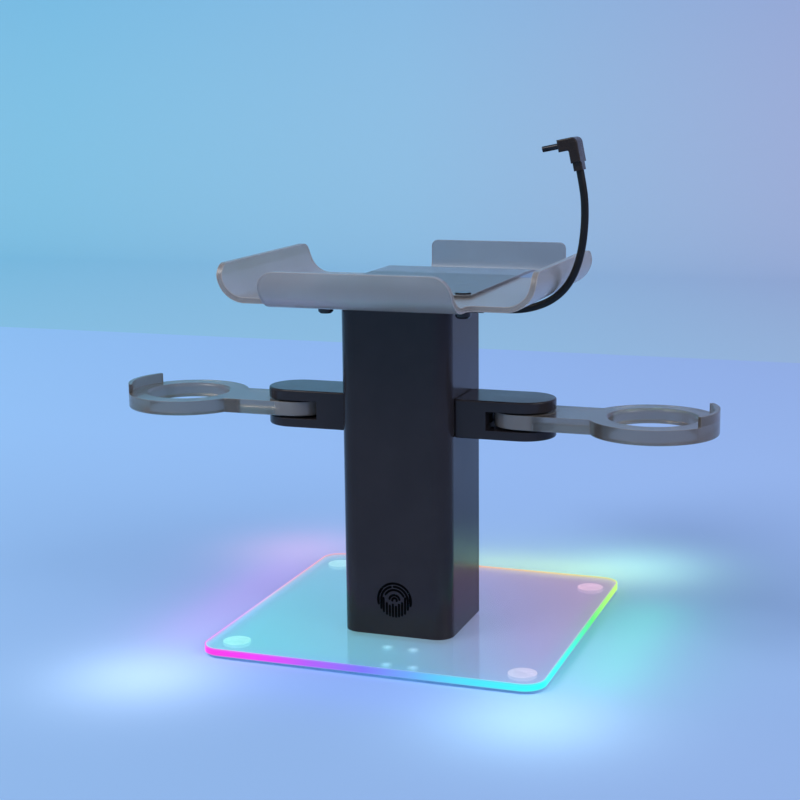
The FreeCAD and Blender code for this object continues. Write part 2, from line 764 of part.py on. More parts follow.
def make_peg_nut():
    """Right nut: a round sleeve under the tray with its lower rim broken."""
    outer = PEG_NUT_D / 2
    low = tray_under - PEG_NUT_H
    nut = turned([
        (0, low),
        (outer - PEG_NUT_CHAMFER, low),
        (outer, low + PEG_NUT_CHAMFER),
        (outer, tray_under),
        (0, tray_under),
    ])
    nut.translate(Vector(PEG_X, peg_y, 0))
    return nut.cut(rod(PEG_X, peg_y, low, tray_under, PEG_D + 2 * THREAD_GAP))


def make_cord_gland():
    """Rubber gland in the column's side with a grooved, tapered nose."""
    hole_r = GLAND_HOLE_D / 2
    flange_r = GLAND_FLANGE_D / 2
    tip_r = GLAND_TIP_D / 2
    nose_start = GLAND_FLANGE_T
    nose_l = GLAND_L - nose_start
    profile = [
        (0, -SHELL_WALL - GLAND_FLANGE_T),
        (flange_r, -SHELL_WALL - GLAND_FLANGE_T),
        (flange_r, -SHELL_WALL),
        (hole_r, -SHELL_WALL),
        (hole_r, 0),
        (flange_r, 0),
        (flange_r, nose_start),
        (hole_r, nose_start),
    ]
    pitch = nose_l / (GLAND_GROOVES + 1)
    for index in range(GLAND_GROOVES):
        start = pitch * (index + GLAND_FIRST_GROOVE)
        for along, depth in ((start, 0), (start, GLAND_GROOVE_DEPTH),
                             (start + GLAND_GROOVE_W, GLAND_GROOVE_DEPTH),
                             (start + GLAND_GROOVE_W, 0)):
            skin = hole_r + (tip_r - hole_r) * along / nose_l
            profile.append((skin - depth, nose_start + along))
    profile += [(tip_r, GLAND_L), (0, GLAND_L)]
    return aimed(turned(profile), Vector(column_side, COLUMN_Y, gland_z), Vector(1, 0, 0))


def lead_points():
    """Corners of the lead's route."""
    return [Vector(x, COLUMN_Y, gland_z + rise) for x, rise in LEAD_ROUTE]


def make_charge_lead():
    """Round lead along straight runs joined by the largest arcs that fit."""
    points = lead_points()
    radii = [0]
    for before, here, after in zip(points, points[1:], points[2:]):
        turn = (here - before).getAngle(after - here)
        shorter = min(before.distanceToPoint(here), here.distanceToPoint(after))
        radii.append(LEAD_ARC_SHARE * shorter / math.tan(turn / 2))
    radii.append(0)
    print("lead radii in diameters:", [round(radius / LEAD_D, 1) for radius in radii[1:-1]])
    path = Part.Wire(rounded_edges(points, radii, False))
    section = Part.Circle(points[0], points[1] - points[0], LEAD_D / 2).toShape()
    lead = path.makePipeShell([Part.Wire([section])], True, False)
    expected = math.pi * LEAD_D ** 2 / 4 * path.Length
    print("lead length", round(path.Length, 2), "volume", round(lead.Volume, 2),
          "expected", round(expected, 2))
    return lead


def plug_placed(shape):
    """Move a plug piece from the origin to the lead's end, in line with it."""
    before, end = lead_points()[-2:]
    turn = FreeCAD.Rotation(Vector(0, 0, 1), end - before)
    shape.Placement = FreeCAD.Placement(end, turn)
    return shape


def make_plug_body():
    """Angled grip: a flat leg over the lead and a head that turns to the left."""
    leg = PLUG_LEG_T / 2
    top = PLUG_COLLAR_H + PLUG_LEG_H
    head_end = leg - PLUG_HEAD_L
    head_under = top - PLUG_HEAD_H
    outline = [(-leg, PLUG_COLLAR_H), (leg, PLUG_COLLAR_H), (leg, top), (head_end, top),
               (head_end, head_under), (-leg, head_under)]
    half = PLUG_W / 2
    grip = prism(outline, (0, 0, PLUG_ELBOW_R, 0, 0, PLUG_EDGE_R), "xz", -half, half)
    sides = [edge for edge in grip.Edges
             if edge.BoundBox.YLength < TOUCH and abs(edge.BoundBox.YMin) > half - TOUCH]
    grip = grip.makeFillet(PLUG_EDGE_R, sides)
    collar = prism(rectangle(-PLUG_COLLAR_T / 2, PLUG_COLLAR_T / 2,
                             -PLUG_COLLAR_W / 2, PLUG_COLLAR_W / 2),
                   PLUG_EDGE_R, "xy", 0, PLUG_COLLAR_H)
    return plug_placed(fused([grip, collar]))


def make_plug_tongue():
    """Hollow flat metal mouth of the plug."""
    root = PLUG_LEG_T / 2 - PLUG_HEAD_L
    tip = root - TONGUE_L
    middle = PLUG_COLLAR_H + PLUG_LEG_H - PLUG_HEAD_H / 2
    across = TONGUE_W / 2
    up = TONGUE_T / 2
    outer = prism(rectangle(-across, across, middle - up, middle + up), up - TOUCH, "yz", tip, root)
    across -= TONGUE_WALL
    up -= TONGUE_WALL
    inner = prism(rectangle(-across, across, middle - up, middle + up), up - TOUCH, "yz",
                  tip, tip + TONGUE_DEPTH)
    return plug_placed(outer.cut(inner))


def make_base_screws():
    body = screw_body(BASE_SCREW)
    return Part.makeCompound([aimed(body, Vector(x, y, plate_under), Vector(0, 0, -1))
                              for x, y in post_places()])


def make_tray_screws():
    body = screw_body(TRAY_SCREW)
    return Part.makeCompound([aimed(body, Vector(x, y, tray_top), Vector(0, 0, 1))
                              for x, y in post_places()])


def make_cover_screws():
    body = screw_body(COVER_SCREW)
    return Part.makeCompound([aimed(body, Vector(x, column_rear, z), Vector(0, 1, 0))
                              for x, z in cover_screw_places()])


def make_board_screws():
    body = screw_body(BOARD_SCREW)
    head_top = board_rear - BOARD_T - BOARD_SCREW.head_h
    return Part.makeCompound([aimed(body, Vector(x, head_top, z), Vector(0, -1, 0))
                              for x, z in board_post_places()])


def all_pieces():
    """Every piece by name, still about the middle of the base plate."""
    pieces = {
        "base_plate": make_base_plate(),
        "bottom_lid": make_bottom_lid(),
        "base_screws": make_base_screws(),
        "column_shell": make_column_shell(),
        "rear_cover": make_rear_cover(),
        "cover_screws": make_cover_screws(),
        "top_cap": make_top_cap(),
        "lamp_board": make_lamp_board(),
        "lamps": make_lamps(),
        "control_board": make_control_board(),
        "board_screws": make_board_screws(),
        "touch_pad": make_touch_pad(),
        "power_inlet": make_power_inlet(),
        "tray": make_tray(),
        "tray_screws": make_tray_screws(),
        "strap_rest": make_strap_rest(),
        "cord_gland": make_cord_gland(),
        "charge_lead": make_charge_lead(),
        "plug_body": make_plug_body(),
        "plug_tongue": make_plug_tongue(),
    }
    pad_x = PLATE_SIZE / 2 - PAD_INSET_X
    pad_y = PLATE_SIZE / 2 - PAD_INSET_Y
    for depth_name, y in (("front", -pad_y), ("rear", pad_y)):
        for side_name, x in (("left", -pad_x), ("right", pad_x)):
            pieces[f"pad_{depth_name}_{side_name}"] = make_pad(x, y)
    one_side = {
        "clevis": make_clevis(),
        "clevis_screws": make_clevis_screws(),
        "pivot_pin": make_pivot_pin(),
        "lower_washer": make_washer(slot_under),
        "upper_washer": make_washer(slot_top - WASHER_T),
        "ring_arm": make_ring_arm(),
        "tray_peg": make_peg(),
        "peg_nut": make_peg_nut(),
    }
    for name, shape in one_side.items():
        pieces["right_" + name] = shape
        pieces["left_" + name] = mirrored(shape)
    return pieces


def main():
    os.makedirs("parts", exist_ok=True)
    for name, shape in all_pieces().items():
        shape.translate(Vector(0, -middle_y, 0))
        if not shape.isValid():
            print("not valid:", name)
        shape.exportStep(os.path.join("parts", name + ".step"))


main()
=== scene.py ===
"""Looks of a stand for a virtual reality headset and two hand controllers.

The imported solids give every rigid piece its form.  This script gives each of
them the finish of the real material, adds the lead as one smooth cord, cuts
the drives into the screws, prints the touch mark and sets a plain studio.
Lengths in the classes are millimetres, in the frame of the solids.
"""

import json
import logging
import math
from dataclasses import dataclass
from enum import Enum
from typing import Any, Iterable, Mapping, Sequence

import bmesh
import bpy
from mathutils import Matrix, Vector

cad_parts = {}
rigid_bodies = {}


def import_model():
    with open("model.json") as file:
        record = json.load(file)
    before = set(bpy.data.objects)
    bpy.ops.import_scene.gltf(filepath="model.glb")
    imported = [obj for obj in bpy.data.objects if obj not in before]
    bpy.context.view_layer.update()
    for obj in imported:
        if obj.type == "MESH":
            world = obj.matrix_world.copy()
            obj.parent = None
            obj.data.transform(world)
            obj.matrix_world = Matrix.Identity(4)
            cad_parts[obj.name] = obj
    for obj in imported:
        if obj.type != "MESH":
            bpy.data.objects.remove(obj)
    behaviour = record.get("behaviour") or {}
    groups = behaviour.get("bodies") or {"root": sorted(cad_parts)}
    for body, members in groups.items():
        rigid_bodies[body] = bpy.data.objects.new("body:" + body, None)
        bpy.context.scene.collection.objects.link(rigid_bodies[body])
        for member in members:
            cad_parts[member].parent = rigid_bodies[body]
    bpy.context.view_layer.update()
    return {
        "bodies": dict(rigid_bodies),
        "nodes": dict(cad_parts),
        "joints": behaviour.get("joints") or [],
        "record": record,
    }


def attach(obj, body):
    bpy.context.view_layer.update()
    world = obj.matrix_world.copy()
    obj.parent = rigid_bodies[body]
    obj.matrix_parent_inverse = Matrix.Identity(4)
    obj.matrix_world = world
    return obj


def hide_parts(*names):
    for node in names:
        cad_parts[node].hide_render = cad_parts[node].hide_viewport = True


LOG = logging.getLogger("headset_stand")
MM = 0.001
SIDES = ("left", "right")
ACRYLIC_IOR = 1.49
BEVEL_SAMPLES = 4
# A place multiplied by this keeps its x and y and loses its height.
LEVEL = (1.0, 1.0, 0.0)

Point = tuple[float, float, float]
Flat = tuple[float, float]
Stops = tuple[tuple[float, str], ...]
Frame = Mapping[str, Any]
Node = bpy.types.ShaderNode
Socket = bpy.types.NodeSocket
Source = Node | Socket
Tree = bpy.types.NodeTree


class Body(Enum):
    """Bodies that new pieces ride on."""

    STAND = "stand"


class Slot(Enum):
    """Material slots of the record; no new piece here is given one."""

    BLACK_GLOSS = "black_gloss"
    BLACK_RUBBER = "black_rubber"
    BLACK_STEEL = "black_steel"


def linear(colour: str) -> tuple[float, float, float, float]:
    """Turn an sRGB hex colour into linear values.

    Args:
        colour: six hex digits after a hash sign.

    Returns:
        Linear red, green and blue, with an alpha of one.
    """
    channels = []
    for start in (1, 3, 5):
        value = int(colour[start:start + 2], 16) / 255
        low = value / 12.92
        high = ((value + 0.055) / 1.055) ** 2.4
        channels.append(low if value <= 0.04045 else high)
    return (channels[0], channels[1], channels[2], 1.0)


def metres(point: Sequence[float]) -> Vector:
    """Turn a point in millimetres into a vector in metres."""
    return Vector(point) * MM


def add_node(tree: Tree, kind: str, settings: Mapping[Any, Any] | None = None,
             links: Mapping[Any, Source] | None = None) -> Node:
    """Add a shader node with its settings and incoming links.

    Args:
        tree: node tree that gets the node.
        kind: the node's type name without "ShaderNode" before it.
        settings: values by attribute name, or by the name or number of an
            input socket; "stops" gives the stops of a colour ramp.
        links: what feeds an input, by its name or number: an output socket, or
            a node whose first output is meant.

    Returns:
        The new node.
    """
    node = tree.nodes.new("ShaderNode" + kind)
    for name, value in (settings or {}).items():
        if name == "stops":
            elements = node.color_ramp.elements
            while len(elements) < len(value):
                elements.new(1.0)
            for element, (position, colour) in zip(elements, value):
                element.position = position
                element.color = linear(colour)
        elif isinstance(name, int) or name in node.inputs:
            node.inputs[name].default_value = value
        else:
            setattr(node, name, value)
    for name, source in (links or {}).items():
        output = source.outputs[0] if isinstance(source, Node) else source
        tree.links.new(output, node.inputs[name])
    return node


def new_material(name: str) -> tuple[bpy.types.Material, Tree]:
    """Make a material with an empty node tree.

    Args:
        name: name of the material.

    Returns:
        The material and its node tree.
    """
    material = bpy.data.materials.new(name)
    material.use_nodes = True
    tree = material.node_tree
    tree.nodes.clear()
    return material, tree


def close_material(tree: Tree, settings: Mapping[str, Any],
                   links: Mapping[str, Source]) -> None:
    """End a material's node tree with the principled shader and the output.

    Args:
        tree: node tree of the material.
        settings: inputs of the shader that are the same all over the surface.
        links: what feeds its other inputs.
    """
    shader = add_node(tree, "BsdfPrincipled", settings, links)
    add_node(tree, "OutputMaterial", links={"Surface": shader})


def patch_share(tree: Tree, place: Socket, size: float, detail: float) -> Node:
    """Share that changes slowly over a surface, from zero to one.

    Args:
        tree: node tree of the material.
        place: texture coordinates.
        size: size of a patch in millimetres.
        detail: number of finer layers in the pattern.

    Returns:
        The node that gives the share.
    """
    noise = add_node(tree, "TexNoise", {"Scale": 1 / (size * MM), "Detail": detail},
                     {"Vector": place})
    # Nearly all of the noise lies in this middle part of its range.
    return add_node(tree, "MapRange", {"From Min": 0.35, "From Max": 0.65}, {"Value": noise})


def spot_mask(tree: Tree, flat: Node, places: Iterable[Flat], outer: float,
              inner: float, peak: float) -> Node:
    """Mask that rises round each of some upright axes.

    Args:
        tree: node tree of the material.
        flat: node that gives the place with its height at zero.
        places: where the axes stand, in millimetres.
        outer: distance from an axis at which the mask leaves zero.
        inner: distance at which it reaches its peak.
        peak: value of the mask at the inner distance and nearer.

    Returns:
        The node that gives the mask, which is zero away from the axes.
    """
    total = add_node(tree, "Value")
    for x, y in places:
        away = add_node(tree, "VectorMath",
                        {"operation": "DISTANCE", 1: metres((x, y, 0.0))}, {0: flat})
        spot = add_node(tree, "MapRange",
                        {"From Min": outer * MM, "From Max": inner * MM, "To Max": peak},
                        {"Value": away.outputs["Value"]})
        total = add_node(tree, "Math", {"operation": "MAXIMUM"}, {0: total, 1: spot})
    return total


@dataclass(frozen=True)
class PlainFinish:
    """A finish whose colour and gloss vary slowly, with a grain and soft edges.

    The two colours are the same material where it is clean and where it is
    handled, the grain is the texture of the tool or of the cut, and the edge
    radius is the small rounding that every real edge has.
    """

    name: str
    colour: str
    second_colour: str
    roughness: float
    smudge: float
    patch: float = 18.0
    ior: float = 1.5
    metallic: float = 0.0
    specular: float = 0.5
    transmission: float = 0.0
    # A glow is emission in the finish's colour; on a part that is no lamp it is painted light.
    glow: float = 0.0
    grain: float = 0.3
    grain_depth: float = 0.004
    edge_radius: float = 0.25

    def build(self) -> bpy.types.Material:
        """Make the material.

        Returns:
            The finished material.
        """
        material, tree = new_material(self.name)
        place = add_node(tree, "TexCoord").outputs["Object"]
        share = patch_share(tree, place, self.patch, detail=4.0)
        colour = add_node(tree, "Mix",
                          {"data_type": "RGBA", 6: linear(self.colour),
                           7: linear(self.second_colour)}, {0: share})
        gloss = add_node(tree, "MapRange",
                         {"To Min": self.roughness - self.smudge,
                          "To Max": self.roughness + self.smudge}, {"Value": share})
        settings = {"Metallic": self.metallic, "Specular IOR Level": self.specular,
                    "Transmission Weight": self.transmission}
        links: dict[str, Source] = {"Base Color": colour.outputs[2], "Roughness": gloss,
                                    "Normal": self.surface(tree, place)}
        if not self.metallic:
            settings["IOR"] = self.ior
        if self.glow:
            settings["Emission Strength"] = self.glow
            links["Emission Color"] = colour.outputs[2]
        close_material(tree, settings, links)
        return material

    def surface(self, tree: Tree, place: Socket) -> Node:
        """Normal of the grain on top of the softened edges.

        Args:
            tree: node tree of the material.
            place: texture coordinates.

        Returns:
            The node that gives the normal.
        """
        soft = add_node(tree, "Bevel",
                        {"samples": BEVEL_SAMPLES, "Radius": self.edge_radius * MM})
        noise = add_node(tree, "TexNoise", {"Scale": 1 / (self.grain * MM), "Detail": 3.0},
                         {"Vector": place})
        return add_node(tree, "Bump", {"Distance": self.grain_depth * MM, "Strength": 1.0},
                        {"Height": noise, "Normal": soft})


# ABS, moulded in a polished steel tool: a warm black, and glossy enough to
# mirror the room softly where it is seen at a flat angle.
POLISHED_ABS = PlainFinish("polished black ABS", "#282427", "#2b272a", 0.18, 0.03,
                           specular=0.22, grain=0.8, grain_depth=0.001, edge_radius=0.3)
# ABS, moulded in a spark-eroded tool: the lid under the lamps.
SATIN_ABS = PlainFinish("satin black ABS", "#101216", "#15171c", 0.42, 0.05, ior=1.53,
                        grain=0.4, grain_depth=0.006, edge_radius=0.3)
# Acetal, turned: close-grained black with a waxy gloss.
TURNED_ACETAL = PlainFinish("turned black acetal", "#0b0c0f", "#121317", 0.2, 0.04, patch=4.0,
                            ior=1.48, grain=0.25, grain_depth=0.002, edge_radius=0.2)
# Thermoplastic elastomer, extruded as the lead's jacket: soft black, low gloss.
ELASTOMER_JACKET = PlainFinish("extruded elastomer jacket", "#0d0d0f", "#121215", 0.38, 0.06,
                               patch=6.0, specular=0.28, grain=0.4, edge_radius=0.15)
# Elastomer moulded over the plug: black with a fine polish, its colour tinted warm brown as a
# painted sheen.
PLUG_OVERMOULD = PlainFinish("polished plug overmould", "#1d1411", "#261b17", 0.27, 0.05,
                             patch=5.0, ior=1.52, specular=0.3, grain=0.5, grain_depth=0.002)
# Silicone, cast clear: milky, with a painted glow that stands in for the light it takes from
# the plate.
CAST_SILICONE = PlainFinish("cast clear silicone", "#e4e4e4", "#efecec", 0.4, 0.08, patch=4.0,
                            ior=1.41, transmission=0.15, glow=0.33, grain=0.5, grain_depth=0.01,
                            edge_radius=0.3)
# Screw steel with a black oxide: dull dark metal, browner where it is rubbed.
BLACK_OXIDE_STEEL = PlainFinish("black oxide steel", "#26272a", "#3a3631", 0.4, 0.08, patch=2.0,
                                metallic=1.0, grain=0.15, grain_depth=0.002, edge_radius=0.12)
# Steel with bright nickel: small screws and the inlet's shell.
NICKEL_STEEL = PlainFinish("nickel plated steel", "#b9b7b2", "#a8a49c", 0.22, 0.06, patch=3.0,
                           metallic=1.0, grain=0.2, grain_depth=0.001, edge_radius=0.1)
# Steel with black nickel: the mouth of the plug.
BLACK_NICKEL = PlainFinish("black nickel", "#2c2d31", "#3b3a3c", 0.28, 0.06, patch=3.0,
                           metallic=1.0, grain=0.2, grain_depth=0.001, edge_radius=0.15)
# Glass-fibre laminate under solder mask: deep green with a resin gloss.
LAMINATE = PlainFinish("glass fibre laminate", "#113823", "#17472d", 0.34, 0.05, patch=9.0,
                       ior=1.55, grain=0.5, grain_depth=0.01, edge_radius=0.1)
# Lamp package, moulded in white resin, lit.
LAMP_RESIN = PlainFinish("lamp resin", "#f2f4ff", "#ffe9f6", 0.4, 0.05, patch=5.0, glow=1.2,
                         grain=0.4, edge_radius=0.1)
# Copper electrode on laminate, lightly tarnished.
TARNISHED_COPPER = PlainFinish("tarnished copper", "#b0714a", "#8a5236", 0.35, 0.1, patch=4.0,
                               metallic=1.0, edge_radius=0.1)
# Nylon, stamped from sheet: black washers with a dull face.
STAMPED_NYLON = PlainFinish("stamped black nylon", "#121316", "#1a1b1f", 0.5, 0.06, patch=6.0,
                            ior=1.53, edge_radius=0.1)
# Carbon ink, pad printed: a matt black that swallows the light.
PRINT_INK = PlainFinish("pad printed ink", "#010102", "#040406", 0.55, 0.08, patch=3.0,
                        specular=0.03, grain=0.2, grain_depth=0.003, edge_radius=0.02)


@dataclass(frozen=True)
class SmokedAcrylic:
    """Acrylic tinted grey, see-through, with a painted highlight at its sawn or moulded edges.

    Light runs along the sheet and leaves at its edges; this is painted as a
    paler, less clear colour beside them.  Its roughness blurs what lies behind
    it.  A boss is the place round an upright bore that is painted darker and
    less clear.
    """

    name: str
    colour: str
    cloud_colour: str
    painted_edge_highlight: str
    roughness: float
    clearness: float
    edge_width: float
    bosses: tuple[Flat, ...] = ()
    boss_radius: float = 13.5
    boss_fade: float = 1.5
    boss_colour: str = "#7d7772"
    boss_clearness: float = 0.12
    cloud_size: float = 26.0
    edge_share: float = 0.55
    edge_radius: float = 0.35

    def build(self) -> bpy.types.Material:
        """Make the material.

        Returns:
            The finished material.
        """
        material, tree = new_material(self.name)
        place = add_node(tree, "TexCoord").outputs["Object"]
        share = patch_share(tree, place, self.cloud_size, detail=3.0)
        face = add_node(tree, "Mix",
                        {"data_type": "RGBA", 6: linear(self.colour),
                         7: linear(self.cloud_colour)}, {0: share})
        edge = self.edge_highlight_mask(tree)
        # Painted highlight: the colour turns paler beside the edges, and the sheet less clear.
        edge_highlighted = add_node(tree, "Mix", {"data_type": "RGBA", 7: linear(self.painted_edge_highlight)},
                        {0: edge, 6: face.outputs[2]})
        boss = self.boss_mask(tree, place)
        clouded = add_node(tree, "Mix", {"data_type": "RGBA", 7: linear(self.boss_colour)},
                           {0: boss, 6: edge_highlighted.outputs[2]})
        clear = add_node(tree, "MapRange",
                         {"To Min": self.clearness,
                          "To Max": self.clearness * self.edge_share}, {"Value": edge})
        shown = add_node(tree, "MapRange", {"To Max": self.boss_clearness},
                         {"Value": boss, "To Min": clear})
        soft = add_node(tree, "Bevel",
                        {"samples": BEVEL_SAMPLES, "Radius": self.edge_radius * MM})
        close_material(tree, {"IOR": ACRYLIC_IOR, "Roughness": self.roughness},
                       {"Base Color": clouded.outputs[2], "Transmission Weight": shown,
                        "Normal": soft})
        return material

    def edge_highlight_mask(self, tree: Tree) -> Node:
        """Mask of the painted edge highlight: one on and beside the sheet's edges, zero on its
        faces.

        Args:
            tree: node tree of the material.

        Returns:
            The node that gives the mask.
        """
        wide = add_node(tree, "Bevel", {"samples": 6, "Radius": self.edge_width * MM})
        here = add_node(tree, "NewGeometry")
        match = add_node(tree, "VectorMath", {"operation": "DOT_PRODUCT"},
                         {0: wide, 1: here.outputs["Normal"]})
        # The cosine falls where the wide bevel turns the face's normal.
        return add_node(tree, "MapRange", {"From Min": 0.995, "From Max": 0.85},
                        {"Value": match.outputs["Value"]})

    def boss_mask(self, tree: Tree, place: Socket) -> Node:
        """One round each boss's upright axis, zero away from it.

        Args:
            tree: node tree of the material.
            place: texture coordinates.

        Returns:
            The node that gives the mask.
        """
        flat = add_node(tree, "VectorMath", {"operation": "MULTIPLY", 1: LEVEL}, {0: place})
        return spot_mask(tree, flat, self.bosses, self.boss_radius + self.boss_fade,
                         self.boss_radius, peak=1.0)


# Cast acrylic, smoked, frosted on both faces and heat bent: warm translucent
# grey, with a painted pale and slightly rosy highlight at its edges.
FROSTED_SMOKE = SmokedAcrylic("frosted smoked acrylic", "#cdc5be", "#d4ccc7", "#cbc3c3",
                              0.27, 0.76, 0.8)
# Thin sheet of the same smoke with a light satin: darker over the tray.
SATIN_SMOKE = SmokedAcrylic("satin smoked sheet", "#b0b0b4", "#b8b8bc", "#b8b4b4",
                            0.26, 0.82, 0.5)
# Smoked acrylic, moulded and left glossy: the ring arms, darker and clearer,
# but painted darker and less clear round the bore of the pin.
MOULDED_SMOKE = SmokedAcrylic("moulded smoked acrylic", "#9f958b", "#a69c91", "#aea398",
                              0.19, 0.82, 0.4, bosses=((-51.5, -34.3), (51.5, -34.3)))


@dataclass(frozen=True)
class EdgeLitAcrylic:
    """Clear cast acrylic with light fed into it, which leaves at its edges.

    The faces are nearly clear, with a faint haze of the same light, which is
    also painted into their colour.  The polished edges glow in a wheel of
    colours round the plate, most strongly half way up, and the haze gathers
    colour toward them.
    """

    name: str
    centre: Point
    half_size: float
    corner: float
    thickness: float
    wheel: Stops
    haze: Stops
    painted_glints: tuple[Flat, ...]
    roughness: float = 0.1
    edge_radius: float = 0.3
    rim: float = 1.0
    rim_full: float = 0.2
    rim_colour: str = "#10121c"
    rim_clearness: float = 0.1
    face_clearness: float = 0.8
    fringe: float = 9.0
    fringe_share: float = 0.22
    edge_strength: float = 1.0
    edge_falloff: float = 0.8
    haze_strength: float = 0.14
    haze_slope: float = 0.6
    haze_reach: float = 1.2
    glint_radius: float = 3.0
    glint_share: float = 0.42

    def build(self) -> bpy.types.Material:
        """Make the material.

        Returns:
            The finished material.
        """
        material, tree = new_material(self.name)
        place = add_node(tree, "TexCoord").outputs["Object"]
        about = add_node(tree, "VectorMath",
                         {"operation": "SUBTRACT", 1: metres(self.centre)}, {0: place})
        flat = add_node(tree, "VectorMath", {"operation": "MULTIPLY", 1: LEVEL}, {0: about})
        axes = add_node(tree, "SeparateXYZ", links={"Vector": about})
        haze = self.colour_by_place(tree, axes)
        inward = self.depth_from_edge(tree, flat)
        rim = add_node(tree, "MapRange",
                       {"From Min": self.rim * MM, "From Max": self.rim_full * MM},
                       {"Value": inward})
        edge = self.edge_light(tree, axes, inward, rim)
        fringe = add_node(tree, "MapRange",
                          {"From Min": self.fringe * MM, "From Max": 0.0,
                           "To Max": self.fringe_share}, {"Value": inward})
        near = add_node(tree, "Math", {"operation": "MAXIMUM"}, {0: edge, 1: fringe})
        glow = add_node(tree, "Mix", {"data_type": "RGBA"},
                        {0: near, 6: haze, 7: self.colour_by_angle(tree, axes)})
        # Painted light: away from the rim the plate's own colour takes the haze colours.
        body = add_node(tree, "Mix", {"data_type": "RGBA", 7: linear(self.rim_colour)},
                        {0: rim, 6: haze})
        clear = add_node(tree, "MapRange",
                         {"To Min": self.face_clearness, "To Max": self.rim_clearness},
                         {"Value": rim})
        # Painted glints: four small soft spots of emission that stand in for reflections in the
        # plate.
        painted_glints = spot_mask(tree, flat, self.painted_glints, self.glint_radius, 0.0, self.glint_share)
        lit = add_node(tree, "Math", {"operation": "MAXIMUM"}, {0: edge, 1: painted_glints})
        strength = add_node(tree, "MapRange",
                            {"To Min": self.haze_strength, "To Max": self.edge_strength},
                            {"Value": lit})
        soft = add_node(tree, "Bevel",
                        {"samples": BEVEL_SAMPLES, "Radius": self.edge_radius * MM})
        close_material(tree, {"IOR": ACRYLIC_IOR, "Roughness": self.roughness},
                       {"Base Color": body.outputs[2], "Transmission Weight": clear,
                        "Emission Color": glow.outputs[2], "Emission Strength": strength,
                        "Normal": soft})
        return material

    def edge_light(self, tree: Tree, axes: Node, inward: Node, rim: Node) -> Node:
        """Light of the edges: the rim of the faces and the whole of the sides.

        Args:
            tree: node tree of the material.
            axes: node that gives x, y and z from the plate's centre.
            inward: node that gives the depth from the edge.
            rim: node that gives one at the rim and zero farther in.

        Returns:
            The node that gives the share of the light.
        """
        level = add_node(tree, "Math", {"operation": "ABSOLUTE"}, {0: axes.outputs["Z"]})
        height = self.thickness * MM
        body = add_node(tree, "MapRange",
                        {"From Min": 0.3 * height, "From Max": 0.5 * height,
                         "To Min": 1.0, "To Max": self.edge_falloff}, {"Value": level})
        # Only the sides lie this close to the outline.
        side = add_node(tree, "MapRange", {"From Min": 0.12 * MM, "From Max": 0.04 * MM},
                        {"Value": inward})
        return add_node(tree, "Mix", {"data_type": "FLOAT"}, {0: side, 2: rim, 3: body})

    def colour_by_angle(self, tree: Tree, axes: Node) -> Node:
        """Colour wheel round the plate's centre, from the left by the front.

        Args:
            tree: node tree of the material.
            axes: node that gives x and y from the plate's centre.

        Returns:
            The node that gives the colour.
        """
        angle = add_node(tree, "Math", {"operation": "ARCTAN2"},
                         {0: axes.outputs["Y"], 1: axes.outputs["X"]})
        turn = add_node(tree, "MapRange", {"From Min": -math.pi, "From Max": math.pi},
                        {"Value": angle})
        return add_node(tree, "ValToRGB", {"stops": self.wheel}, {"Fac": turn})

    def colour_by_place(self, tree: Tree, axes: Node) -> Node:
        """Haze colour from the plate's front left to its rear right.

        Args:
            tree: node tree of the material.
            axes: node that gives x and y from the plate's centre.

        Returns:
            The node that gives the colour.
        """
        lean = add_node(tree, "Math", {"operation": "MULTIPLY_ADD", 1: self.haze_slope},
                        {0: axes.outputs["Y"], 2: axes.outputs["X"]})
        reach = self.haze_reach * self.half_size * MM
        share = add_node(tree, "MapRange", {"From Min": -reach, "From Max": reach},
                         {"Value": lean})
        return add_node(tree, "ValToRGB", {"stops": self.haze}, {"Fac": share})

    def depth_from_edge(self, tree: Tree, flat: Node) -> Node:
        """How far a point lies inside the plate's rounded outline, in metres.

        Args:
            tree: node tree of the material.
            flat: node that gives the place from the plate's centre, at no height.

        Returns:
            The node that gives the depth, at most the corner radius.
        """
        size = add_node(tree, "VectorMath", {"operation": "ABSOLUTE"}, {0: flat})
        straight = (self.half_size - self.corner) * MM
        past = add_node(tree, "VectorMath",
                        {"operation": "SUBTRACT", 1: (straight, straight, 0.0)}, {0: size})
        out = add_node(tree, "VectorMath", {"operation": "MAXIMUM", 1: (0.0, 0.0, 0.0)},
                       {0: past})
        reach = add_node(tree, "VectorMath", {"operation": "LENGTH"}, {0: out})
        return add_node(tree, "Math", {"operation": "SUBTRACT", 0: self.corner * MM},
                        {1: reach.outputs["Value"]})


# The wheel starts at the plate's left and runs by its front to its right.
EDGE_WHEEL = (
    (0.00, "#f5a0d8"), (0.07, "#f078e6"), (0.12, "#ff10dc"), (0.16, "#f232fa"),
    (0.20, "#b45aff"), (0.25, "#7c74ff"), (0.29, "#6ea6ff"), (0.33, "#50dcff"),
    (0.38, "#1efff8"), (0.46, "#28f0c8"), (0.53, "#50f050"), (0.60, "#b4ff28"),
    (0.66, "#f0f03c"), (0.74, "#ffb450"), (0.84, "#ff6e6e"), (0.93, "#ff82aa"),
    (1.00, "#f5a0d8"))
# Haze in the plate's faces, from its front left to its rear right: their glow, and painted
# light in their colour.
PLATE_HAZE = ((0.0, "#a4f0ee"), (0.35, "#b4e6ee"), (0.55, "#c4d4ea"), (0.75, "#d6c6e4"),
              (1.0, "#e2c0d8"))
# The two blues of the studio's seamless paper, each from its left to its right:
# the floor's near blue, and a far blue that is painted shade, the darker tone
# of an upright backdrop printed on the paper.
NEAR_BLUES = ((0.0, "#a4d8ff"), (0.5, "#a6cbfa"), (1.0, "#aabce9"))
BACKDROP_SHADE_BLUES = ((0.0, "#96d5ec"), (0.5, "#a4d2eb"), (1.0, "#b2c0e0"))


